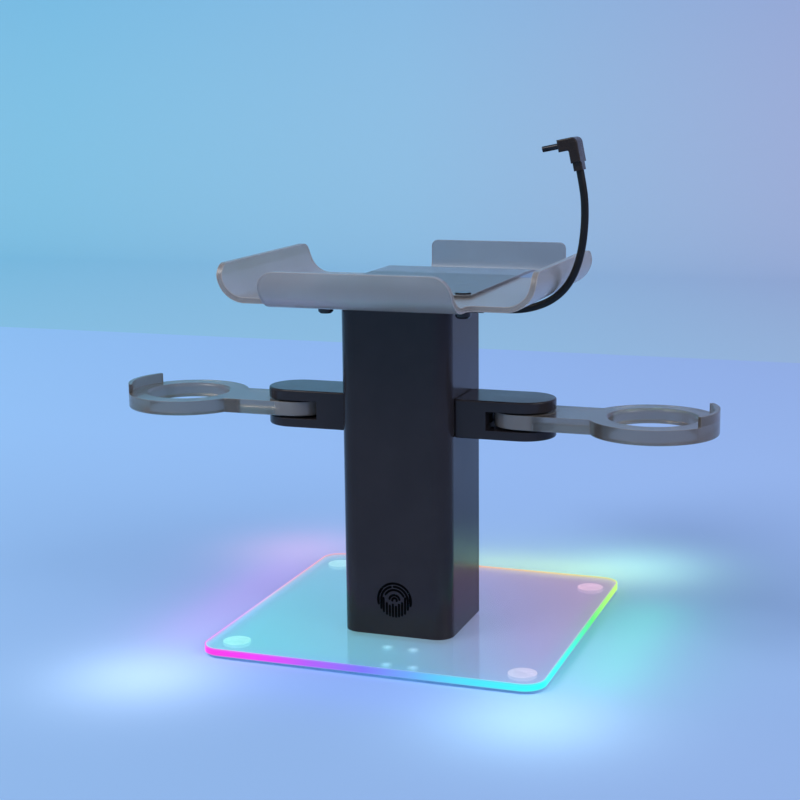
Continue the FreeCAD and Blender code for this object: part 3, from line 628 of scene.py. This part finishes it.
@dataclass(frozen=True)
class PaperSweep:
    """Matt seamless paper in two pale blues that meet at a border; the far blue
    is painted shade, the darker tone of an upright backdrop.

    The near blue is painted a little darker toward the front, as shade where
    the paper has less of the light.
    """

    name: str
    near: Stops
    far: Stops
    border: float
    border_blur: float = 2.0
    reach: float = 600.0
    lean: float = 0.36
    front_share: float = 0.84
    front: float = -450.0
    full: float = 300.0
    ior: float = 1.3
    roughness: float = 0.95

    def build(self) -> bpy.types.Material:
        """Make the material.

        Returns:
            The finished material.
        """
        material, tree = new_material(self.name)
        place = add_node(tree, "TexCoord").outputs["Object"]
        axes = add_node(tree, "SeparateXYZ", links={"Vector": place})
        across = add_node(tree, "Math", {"operation": "MULTIPLY_ADD", 1: self.lean},
                          {0: axes.outputs["Y"], 2: axes.outputs["X"]})
        share = add_node(tree, "MapRange",
                         {"From Min": -self.reach * MM, "From Max": self.reach * MM},
                         {"Value": across})
        near, far = (add_node(tree, "ValToRGB", {"stops": stops}, {"Fac": share})
                     for stops in (self.near, self.far))
        past = add_node(tree, "MapRange",
                        {"From Min": (self.border - self.border_blur) * MM,
                         "From Max": (self.border + self.border_blur) * MM},
                        {"Value": axes.outputs["Y"]})
        # Painted shade: the near blue darkens toward the front.
        depth = add_node(tree, "MapRange",
                         {"From Min": self.front * MM, "From Max": self.full * MM,
                          "To Min": self.front_share}, {"Value": axes.outputs["Y"]})
        shaded = add_node(tree, "VectorMath", {"operation": "SCALE"}, {0: near, "Scale": depth})
        # Past the border the paper takes the far blue, painted shade of an upright backdrop.
        both = add_node(tree, "Mix", {"data_type": "RGBA"}, {0: past, 6: shaded, 7: far})
        close_material(tree, {"IOR": self.ior, "Roughness": self.roughness},
                       {"Base Color": both.outputs[2]})
        return material


def place_object(name: str, data: bpy.types.ID) -> bpy.types.Object:
    """Put a mesh, a curve, a lamp or a camera in the scene.

    Args:
        name: name of the object.
        data: what the object shows.

    Returns:
        The new object.
    """
    piece = bpy.data.objects.new(name, data)
    bpy.context.scene.collection.objects.link(piece)
    return piece


def place_mesh(name: str, mesh: bpy.types.Mesh,
               material: bpy.types.Material) -> bpy.types.Object:
    """Put a mesh of one material in the scene."""
    mesh.materials.append(material)
    return place_object(name, mesh)


def join_rings(shape: bmesh.types.BMesh, upper: Sequence[bmesh.types.BMVert],
               lower: Sequence[bmesh.types.BMVert]) -> None:
    """Join two rings of vertices, one over the other, by a band of faces.

    Args:
        shape: mesh that gets the faces.
        upper: vertices of the upper ring.
        lower: as many vertices of the lower ring.
    """
    for index in range(len(upper)):
        following = (index + 1) % len(upper)
        shape.faces.new((upper[following], upper[index], lower[index], lower[following]))


def dress(frame: Frame, nodes: Iterable[str], material: bpy.types.Material) -> None:
    """Give the solids of some nodes a material.

    Args:
        frame: what the frame's load returned.
        nodes: names of the nodes.
        material: the material that they get.
    """
    for node in nodes:
        slots = frame["nodes"][node].data.materials
        slots.clear()
        slots.append(material)
        LOG.info("dressed %s in %s", node, material.name)


@dataclass(frozen=True)
class FloorGlow:
    """Light that leaves the plate and falls on the floor beside it.

    A pool is round and lies off a corner.  A band has a length and lies along
    an edge, toward x unless it is turned.
    """

    name: str
    place: Flat
    colour: str
    power: float
    length: float = 0.0
    turn: float = 0.0
    pool_height: float = 46.0
    pool_cone: float = 140.0
    pool_source: float = 8.0
    band_height: float = 27.0
    band_width: float = 12.0

    def build(self) -> None:
        """Hang the lamp that makes the glow, out of sight and facing down."""
        lamp = bpy.data.lights.new(self.name, "AREA" if self.length else "SPOT")
        lamp.energy = self.power
        lamp.color = linear(self.colour)[:3]
        if self.length:
            lamp.shape = "RECTANGLE"
            lamp.size = self.length * MM
            lamp.size_y = self.band_width * MM
        else:
            lamp.spot_size = math.radians(self.pool_cone)
            lamp.spot_blend = 1.0
            lamp.shadow_soft_size = self.pool_source * MM
        height = self.band_height if self.length else self.pool_height
        holder = place_object(self.name, lamp)
        holder.location = metres((*self.place, height))
        holder.rotation_euler.z = math.radians(self.turn)
        for ray in ("visible_camera", "visible_glossy", "visible_transmission"):
            setattr(holder, ray, False)
        LOG.info("hung %s", self.name)


FLOOR_GLOWS = (
    FloorGlow("pool_front_left", (-86.0, -123.0), "#ffe8dc", 0.068),
    FloorGlow("pool_front_right", (78.0, -119.0), "#f0ffe8", 0.062),
    FloorGlow("pool_rear_right", (78.0, 90.0), "#ccf6a8", 0.067),
    FloorGlow("pool_rear_left", (-96.0, 70.0), "#ff6a70", 0.055),
    FloorGlow("band_left", (-92.0, -20.0), "#ff30b0", 0.0105, 130.0, 90.0),
    FloorGlow("band_front", (0.0, -112.0), "#3028ff", 0.004, 120.0),
    FloorGlow("band_right", (94.0, -25.0), "#38ff88", 0.0125, 120.0, 90.0),
    FloorGlow("band_rear", (26.0, 76.0), "#ffff58", 0.011, 90.0),
)


@dataclass
class BasePlate:
    """Edge-lit plate with its pads, lamps and lid, and its light on the floor."""

    centre: Point = (0.0, -20.3, 3.0)
    half_size: float = 75.0
    corner: float = 9.0
    thickness: float = 3.0
    # Places of the painted glints in the plate, in front of the column.
    painted_glints: tuple[Flat, ...] = ((1.7, -50.0), (13.2, -50.0), (8.4, -70.0), (20.0, -70.0))

    def build(self, frame: Frame) -> None:
        """Dress the plate's pieces and light the floor round it.

        Args:
            frame: what the frame's load returned.
        """
        acrylic = EdgeLitAcrylic("edge-lit cast acrylic", self.centre, self.half_size,
                                 self.corner, self.thickness, EDGE_WHEEL, PLATE_HAZE,
                                 self.painted_glints)
        dress(frame, ["base_plate"], acrylic.build())
        pads = [name for name in frame["nodes"] if name.startswith("pad_")]
        dress(frame, pads, CAST_SILICONE.build())
        dress(frame, ["lamps"], LAMP_RESIN.build())
        dress(frame, ["bottom_lid"], SATIN_ABS.build())
        for glow in FLOOR_GLOWS:
            glow.build()


@dataclass
class TouchMark:
    """Mark of the touch key: a print of a thumb, drawn as arches and short legs.

    A row of the arches is what arch() takes.  The other strokes are legs that
    end at a small gap from the outer circle.
    """

    centre: Point = (0.0, -56.3, 20.5)
    width: float = 1.0
    height: float = 0.04
    arches: tuple[tuple[float, float, float, float], ...] = (
        (7.5, -14.0, 196.0, 0.0), (6.05, 0.0, 92.0, 3.6), (6.05, 106.0, 180.0, 4.0),
        (4.6, 28.0, 150.0, 0.0), (2.3, 12.0, 168.0, 0.0), (1.0, -10.0, 190.0, 0.0))
    arch_steps: int = 28
    leg_tops: tuple[Flat, ...] = ((-5.0, 0.6), (-3.55, -1.6), (-2.15, -2.6), (-0.75, -2.0),
                                  (0.65, -2.8), (2.05, -1.7), (3.45, -0.9), (4.85, 1.4))
    leg_lean: float = 0.98
    leg_gap: float = 0.25
    outer: float = 7.5

    def build(self) -> None:
        """Print the mark as one piece."""
        mesh = bpy.data.meshes.new("touch_mark")
        shape = bmesh.new()
        for line in self.lines():
            self.add_stroke(shape, line)
        bmesh.ops.recalc_face_normals(shape, faces=shape.faces)
        shape.to_mesh(mesh)
        shape.free()
        piece = place_mesh("touch_mark", mesh, PRINT_INK.build())
        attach(piece, Body.STAND.value)
        LOG.info("printed the touch mark with %d faces", len(mesh.polygons))

    def lines(self) -> list[list[Flat]]:
        """Middle lines of the strokes, in millimetres from the mark's centre.

        Returns:
            One list of (across, up) places for each stroke.
        """
        strokes = [self.arch(*row) for row in self.arches]
        for across, top in self.leg_tops:
            low = -math.sqrt(self.outer ** 2 - across ** 2) + self.leg_gap
            strokes.append([(across, top), (across * self.leg_lean, low)])
        return strokes

    def arch(self, radius: float, start: float, end: float, leg: float) -> list[Flat]:
        """Places along an arch, with a leg straight down from its outer end.

        Args:
            radius: radius of the arch.
            start: angle of its right end, in degrees from level.
            end: angle of its left end.
            leg: length of the leg, or zero; it hangs from the end that is level.

        Returns:
            The places.
        """
        angles = [math.radians(start + (end - start) * index / self.arch_steps)
                  for index in range(self.arch_steps + 1)]
        line = [(radius * math.cos(angle), radius * math.sin(angle)) for angle in angles]
        if leg and start == 0:
            line.insert(0, (radius, -leg))
        elif leg:
            line.append((-radius, -leg))
        return line

    def add_stroke(self, shape: bmesh.types.BMesh, line: Sequence[Flat]) -> None:
        """Add one stroke with round ends, raised from the column's face.

        Args:
            shape: mesh that gets the stroke.
            line: middle line of the stroke.
        """
        half = self.width / 2
        near = []
        far = []
        for index, (across, up) in enumerate(line):
            before = Vector(line[max(index - 1, 0)])
            after = Vector(line[min(index + 1, len(line) - 1)])
            along = (after - before).normalized()
            near.append((across - along.y * half, up + along.x * half))
            far.append((across + along.y * half, up - along.x * half))
        outline = near + self.cap(line[-2], line[-1]) + far[::-1] + self.cap(line[1], line[0])
        x0, y0, z0 = self.centre
        corners, seats = ([shape.verts.new(metres((x0 + across, y, z0 + up)))
                           for across, up in outline] for y in (y0 - self.height, y0))
        front = shape.faces.new(corners)
        back = shape.faces.new(seats[::-1])
        join_rings(shape, corners, seats)
        bmesh.ops.triangulate(shape, faces=[front, back])

    def cap(self, before: Flat, end: Flat) -> list[Flat]:
        """Inner places of the round end of a stroke.

        Args:
            before: place next to the end.
            end: the end of the stroke's middle line.

        Returns:
            Places from the stroke's left side to its right.
        """
        heading = math.atan2(end[1] - before[1], end[0] - before[0])
        return [(end[0] + self.width / 2 * math.cos(heading + turn),
                 end[1] + self.width / 2 * math.sin(heading + turn))
                for turn in (math.pi / 4, 0.0, -math.pi / 4)]


@dataclass
class CrossHeadScrews:
    """Countersunk screws of one kind, each with a cross drive cut into its head."""

    node: str
    places: tuple[Point, ...]
    facing: Point
    head_d: float
    head_h: float
    shank_d: float
    length: float
    sides: int = 32
    head_break: Flat = (0.12, 0.1)
    tip_break: Flat = (0.4, 0.5)
    drive_w: float = 0.75
    drive_reach: float = 1.5
    drive_depth: float = 0.9
    drive_over: float = 0.4
    drive_taper: float = 0.45

    def build(self) -> None:
        """Cut the screws and put them in place of their solids."""
        cutter = self.drive()
        blank = self.blank()
        cut = blank.modifiers.new("drive", "BOOLEAN")
        cut.operation = "DIFFERENCE"
        cut.solver = "EXACT"
        cut.object = cutter
        bpy.context.view_layer.update()
        graph = bpy.context.evaluated_depsgraph_get()
        one = bpy.data.meshes.new_from_object(blank.evaluated_get(graph))
        for helper in (blank, cutter):
            bpy.data.objects.remove(helper)
        turn = Vector(self.facing).to_track_quat("Z", "Y").to_matrix().to_4x4()
        shape = bmesh.new()
        for place in self.places:
            copy = one.copy()
            copy.transform(Matrix.Translation(metres(place)) @ turn)
            shape.from_mesh(copy)
        mesh = bpy.data.meshes.new(self.node + "_cut")
        shape.to_mesh(mesh)
        shape.free()
        piece = place_mesh(self.node + "_cut", mesh, BLACK_OXIDE_STEEL.build())
        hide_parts(self.node)
        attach(piece, Body.STAND.value)
        LOG.info("cut %d screws for %s", len(self.places), self.node)

    def blank(self) -> bpy.types.Object:
        """Turned blank with its head's top at the origin and its shank below.

        Returns:
            The blank's object.
        """
        head_r = self.head_d / 2
        shank_r = self.shank_d / 2
        head_in, head_down = self.head_break
        tip_in, tip_up = self.tip_break
        rings = ((head_r - head_in, 0.0), (head_r, -head_down), (shank_r, -self.head_h),
                 (shank_r, tip_up - self.length), (shank_r - tip_in, -self.length))
        shape = bmesh.new()
        angles = [math.tau * index / self.sides for index in range(self.sides)]
        levels = []
        for radius, height in rings:
            places = [(radius * math.cos(angle), radius * math.sin(angle), height)
                      for angle in angles]
            levels.append([shape.verts.new(metres(place)) for place in places])
        shape.faces.new(levels[0])
        shape.faces.new(levels[-1][::-1])
        for upper, lower in zip(levels, levels[1:]):
            join_rings(shape, upper, lower)
        return self.helper("blank", shape)

    def drive(self) -> bpy.types.Object:
        """Cross that narrows downward, to be cut from the head.

        Returns:
            The cutter's object.
        """
        shape = bmesh.new()
        levels = []
        for height, share in ((self.drive_over, 1.0), (-self.drive_depth, self.drive_taper)):
            # The slots narrow less than they shorten.
            near = self.drive_w / 2 * (0.6 + 0.4 * share)
            far = self.drive_reach * share
            plan = [(far, -near), (far, near), (near, near)]
            # Each further arm is the one before it, turned by a quarter.
            while len(plan) < 12:
                x, y = plan[-3]
                plan.append((-y, x))
            levels.append([shape.verts.new(metres((x, y, height))) for x, y in plan])
        shape.faces.new(levels[0])
        shape.faces.new(levels[1][::-1])
        join_rings(shape, levels[0], levels[1])
        return self.helper("drive", shape)

    def helper(self, name: str, shape: bmesh.types.BMesh) -> bpy.types.Object:
        """Turn a working mesh into an object that is used for one cut.

        Args:
            name: name of the helper.
            shape: the working mesh, which is freed.

        Returns:
            The helper's object.
        """
        bmesh.ops.recalc_face_normals(shape, faces=shape.faces)
        mesh = bpy.data.meshes.new(name)
        shape.to_mesh(mesh)
        shape.free()
        return place_object(name, mesh)


@dataclass
class Column:
    """Black column with its cover, cap, screws, electronics and touch mark."""

    screw_x: float = 19.0
    cover_y: float = -12.3
    cover_levels: tuple[float, float] = (30.5, 116.5)
    post_depths: tuple[float, float] = (-50.6, -18.8)
    tray_top: float = 152.4
    plate_under: float = 1.5

    def build(self, frame: Frame) -> None:
        """Dress the column, cut its screws and print its mark.

        Args:
            frame: what the frame's load returned.
        """
        dress(frame, ["column_shell", "rear_cover", "top_cap"], POLISHED_ABS.build())
        dress(frame, ["control_board", "lamp_board"], LAMINATE.build())
        dress(frame, ["board_screws", "power_inlet"], NICKEL_STEEL.build())
        dress(frame, ["touch_pad"], TARNISHED_COPPER.build())
        sides = (-self.screw_x, self.screw_x)
        cover = tuple((x, self.cover_y, z) for z in self.cover_levels for x in sides)
        CrossHeadScrews("cover_screws", cover, facing=(0.0, 1.0, 0.0), head_d=5.0,
                        head_h=1.5, shank_d=2.5, length=9.0).build()
        for node, level, up, length in (("tray_screws", self.tray_top, 1.0, 14.0),
                                        ("base_screws", self.plate_under, -1.0, 12.0)):
            posts = tuple((x, y, level) for y in self.post_depths for x in sides)
            CrossHeadScrews(node, posts, facing=(0.0, 0.0, up), head_d=5.5, head_h=1.6,
                            shank_d=2.8, length=length).build()
        TouchMark().build()


@dataclass
class RingArms:
    """Both clevises with the ring arms that swing in them."""

    sides: tuple[str, ...] = SIDES

    def build(self, frame: Frame) -> None:
        """Dress the clevises and the arms.

        Args:
            frame: what the frame's load returned.
        """
        black = POLISHED_ABS.build()
        smoke = MOULDED_SMOKE.build()
        steel = BLACK_OXIDE_STEEL.build()
        nylon = STAMPED_NYLON.build()
        for side in self.sides:
            dress(frame, [side + "_clevis"], black)
            dress(frame, [side + "_ring_arm"], smoke)
            dress(frame, [side + "_pivot_pin", side + "_clevis_screws"], steel)
            dress(frame, [side + "_lower_washer", side + "_upper_washer"], nylon)


@dataclass
class Tray:
    """Folded tray, the strap rest on it and the pegs that join them."""

    sides: tuple[str, ...] = SIDES

    def build(self, frame: Frame) -> None:
        """Dress the tray's pieces.

        Args:
            frame: what the frame's load returned.
        """
        dress(frame, ["tray"], FROSTED_SMOKE.build())
        dress(frame, ["strap_rest"], SATIN_SMOKE.build())
        acetal = TURNED_ACETAL.build()
        for side in self.sides:
            dress(frame, [side + "_tray_peg", side + "_peg_nut"], acetal)


@dataclass
class ChargeLead:
    """Short stiff lead from the gland under the tray to its angled plug."""

    diameter: float = 3.2
    length: float = 90.8
    depth: float = -34.3
    gland_height: float = 145.0
    route: tuple[Flat, ...] = ((33.5, 0.0), (40.5, 0.0), (48.0, -0.1), (55.6, 1.3),
                               (62.6, 4.3), (68.6, 9.4), (72.8, 16.6), (75.3, 25.5),
                               (76.4, 35.5), (76.4, 44.0), (75.7, 50.5), (74.2, 57.9))

    def build(self, frame: Frame) -> None:
        """Lay the lead along its route and dress the plug.

        Args:
            frame: what the frame's load returned.
        """
        jacket = ELASTOMER_JACKET.build()
        curve = bpy.data.curves.new("charge_cord", "CURVE")
        curve.dimensions = "3D"
        curve.bevel_depth = self.diameter / 2 * MM
        curve.bevel_resolution = 8
        curve.resolution_u = 24
        curve.use_fill_caps = True
        curve.materials.append(jacket)
        spline = curve.splines.new("NURBS")
        spline.points.add(len(self.route) - 1)
        for point, (x, rise) in zip(spline.points, self.route):
            place = metres((x, self.depth, self.gland_height + rise))
            point.co = (place.x, place.y, place.z, 1.0)
        spline.order_u = 3
        spline.use_endpoint_u = True
        cord = place_object("charge_cord", curve)
        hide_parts("charge_lead")
        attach(cord, Body.STAND.value)
        dress(frame, ["plug_body"], PLUG_OVERMOULD.build())
        dress(frame, ["plug_tongue"], BLACK_NICKEL.build())
        dress(frame, ["cord_gland"], jacket)
        LOG.info("laid the lead through %d points", len(self.route))


@dataclass
class Studio:
    """Plain pale sweep, soft lamps and the camera."""

    camera_place: Point = (230.1, -686.7, 238.5)
    yaw: float = 19.77
    pitch: float = 11.0
    roll: float = -0.63
    focal: float = 73.44
    target: Point = (0.0, -20.0, 100.0)
    border: float = 720.0
    wall: float = 1700.0
    fold: float = 400.0
    fold_steps: int = 24
    floor_front: float = -6000.0
    half_width: float = 6000.0
    wall_height: float = 2600.0
    air_colour: str = "#e3e6f8"
    air_level: float = 0.52
    seen_colour: str = "#9fc4ea"
    seen_level: float = 1.0

    def build(self) -> None:
        """Set the sweep, the lamps, the world and the camera."""
        self.add_sweep()
        self.add_lamp("key_lamp", (-2000.0, -2000.0, 3000.0), size=2000.0, power=72.0)
        self.add_lamp("fill_lamp", (2600.0, -1000.0, 2000.0), size=2000.0, power=32.0)
        self.set_world()
        self.add_camera()

    def add_sweep(self) -> None:
        """Lay the paper sweep: a floor that folds up into the backdrop."""
        angles = [math.pi / 2 * index / self.fold_steps for index in range(self.fold_steps + 1)]
        bend = [(self.wall - self.fold * (1 - math.sin(angle)),
                 self.fold * (1 - math.cos(angle))) for angle in angles]
        profile = [(self.floor_front, 0.0), *bend, (self.wall, self.wall_height)]
        points = [metres((x, y, z)) for y, z in profile
                  for x in (-self.half_width, self.half_width)]
        faces = [(corner, corner + 1, corner + 3, corner + 2)
                 for corner in range(0, len(points) - 2, 2)]
        mesh = bpy.data.meshes.new("paper_sweep")
        mesh.from_pydata(points, [], faces)
        mesh.shade_smooth()
        paper = PaperSweep("seamless paper", NEAR_BLUES, BACKDROP_SHADE_BLUES, self.border).build()
        place_mesh("paper_sweep", mesh, paper)

    def add_lamp(self, name: str, place: Point, size: float, power: float) -> None:
        """Add a soft lamp that faces the stand.

        Args:
            name: name of the lamp.
            place: where it hangs.
            size: side of its square face.
            power: its power in watts.
        """
        lamp = bpy.data.lights.new(name, "AREA")
        lamp.size = size * MM
        lamp.energy = power
        holder = place_object(name, lamp)
        holder.location = metres(place)
        aim = metres(self.target) - holder.location
        holder.rotation_euler = aim.to_track_quat("-Z", "Y").to_euler()

    def set_world(self) -> None:
        """Give the world an even pale light, and the paper's blue where it is seen."""
        world = bpy.data.worlds.new("studio_air")
        world.use_nodes = True
        tree = world.node_tree
        tree.nodes.clear()
        rays = add_node(tree, "LightPath")
        tone = add_node(tree, "Mix",
                        {"data_type": "RGBA", 6: linear(self.air_colour),
                         7: linear(self.seen_colour)}, {0: rays.outputs["Is Camera Ray"]})
        level = add_node(tree, "MapRange",
                         {"To Min": self.air_level, "To Max": self.seen_level},
                         {"Value": rays.outputs["Is Camera Ray"]})
        air = add_node(tree, "Background",
                       links={"Color": tone.outputs[2], "Strength": level})
        add_node(tree, "OutputWorld", links={"Surface": air})
        bpy.context.scene.world = world

    def add_camera(self) -> None:
        """Place the camera at the photograph's viewpoint."""
        data = bpy.data.cameras.new("photo_camera")
        data.sensor_width = 36.0
        data.sensor_fit = "HORIZONTAL"
        data.lens = self.focal
        data.clip_start = 0.01
        data.clip_end = 20.0
        yaw, pitch, roll = (math.radians(value) for value in (self.yaw, self.pitch, self.roll))
        ahead = Vector((-math.sin(yaw) * math.cos(pitch), math.cos(yaw) * math.cos(pitch),
                        -math.sin(pitch)))
        level = Vector((math.cos(yaw), math.sin(yaw), 0.0))
        upright = level.cross(ahead)
        right = math.cos(roll) * level + math.sin(roll) * upright
        up = -math.sin(roll) * level + math.cos(roll) * upright
        turn = Matrix((right, up, -ahead)).transposed().to_4x4()
        camera = place_object("photo_camera", data)
        camera.matrix_world = Matrix.Translation(metres(self.camera_place)) @ turn
        bpy.context.scene.camera = camera


def main() -> None:
    """Load the frame, dress it and set the studio."""
    logging.basicConfig(level=logging.INFO, format="%(name)s: %(message)s")
    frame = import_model()
    bpy.context.scene.view_settings.view_transform = "Standard"
    for assembly in (BasePlate(), Column(), RingArms(), Tray(), ChargeLead()):
        assembly.build(frame)
    Studio().build()


if __name__ == "__main__":
    main()
